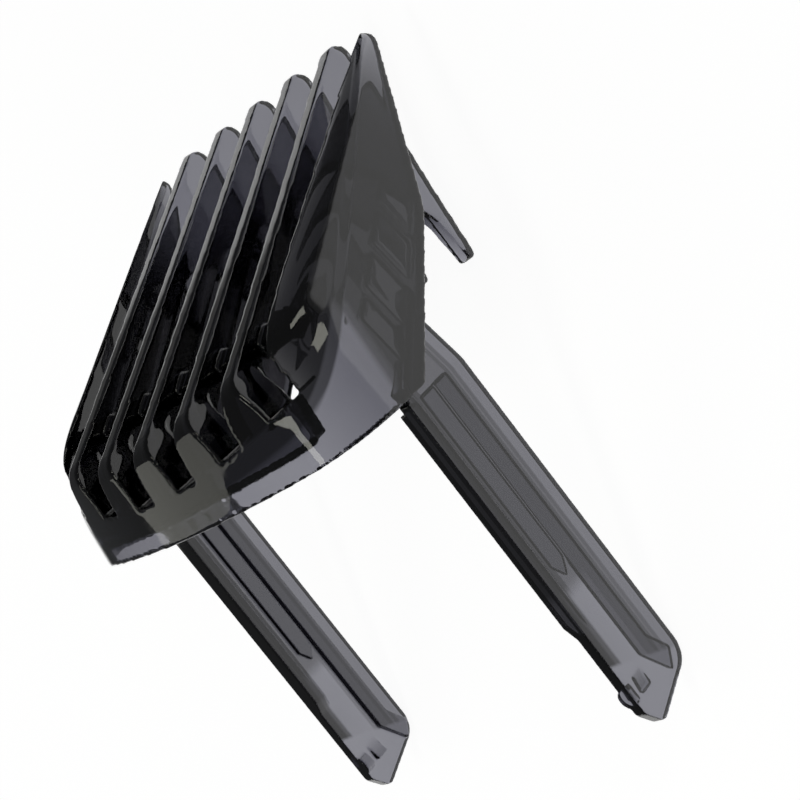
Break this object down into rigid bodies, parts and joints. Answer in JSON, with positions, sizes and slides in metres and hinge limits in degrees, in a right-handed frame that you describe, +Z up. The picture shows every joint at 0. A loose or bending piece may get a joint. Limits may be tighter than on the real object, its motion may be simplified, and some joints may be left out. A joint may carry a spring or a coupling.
{
  "type": "clipper guard comb",
  "caption": "Clip-on guard comb for a hair clipper: a slotted hood of hooked tines on two long spring arms, moulded in smoke-grey translucent plastic",
  "frame": {"origin": "bottom centre of the comb's box as it lies on a table, on the feet of its five tines and the corners of its two arm ends", "axes": "+X to the right cheek across the comb, +Y from the arm ends towards the tine tips, +Z up from the table"},
  "size_m": [0.0512, 0.0736, 0.0352],
  "materials": {
    "smoke_plastic": "glossy, translucent smoke grey"
  },
  "bodies": {
    "head": {"cross_bar_1": "smoke_plastic", "cross_bar_2": "smoke_plastic", "cross_bar_3": "smoke_plastic", "cross_bar_4": "smoke_plastic", "cross_bar_5": "smoke_plastic", "cross_bar_6": "smoke_plastic", "left_arm_root": "smoke_plastic", "left_cheek": "smoke_plastic", "left_cheek_rib_1": "smoke_plastic", "left_cheek_rib_2": "smoke_plastic", "left_cheek_rib_3": "smoke_plastic", "right_arm_root": "smoke_plastic", "right_cheek": "smoke_plastic", "right_cheek_rib_1": "smoke_plastic", "right_cheek_rib_2": "smoke_plastic", "right_cheek_rib_3": "smoke_plastic", "skirt": "smoke_plastic", "tine_1": "smoke_plastic", "tine_2": "smoke_plastic", "tine_3": "smoke_plastic", "tine_4": "smoke_plastic", "tine_5": "smoke_plastic"},
    "right_arm": {"right_arm_blade": "smoke_plastic", "right_arm_rib": "smoke_plastic", "right_arm_band": "smoke_plastic", "right_arm_flange": "smoke_plastic", "right_click_bump": "smoke_plastic", "right_detent": "smoke_plastic"},
    "left_arm": {"left_arm_blade": "smoke_plastic", "left_arm_rib": "smoke_plastic", "left_arm_band": "smoke_plastic", "left_arm_flange": "smoke_plastic", "left_click_bump": "smoke_plastic", "left_detent": "smoke_plastic"}
  },
  "joints": [
    {"name": "right_arm_flex", "type": "hinge", "parent": "head", "child": "right_arm", "pos_m": [0.0221, 0.00291, 0.01782], "axis": [0, -0.3634, 0.9316], "range_deg": [-2, 3], "stiffness_Nm_per_rad": 0.2},
    {"name": "left_arm_flex", "type": "hinge", "parent": "head", "child": "left_arm", "pos_m": [-0.0221, 0.00291, 0.01782], "axis": [0, 0.3634, -0.9316], "range_deg": [-2, 3], "stiffness_Nm_per_rad": 0.2}
  ]
}
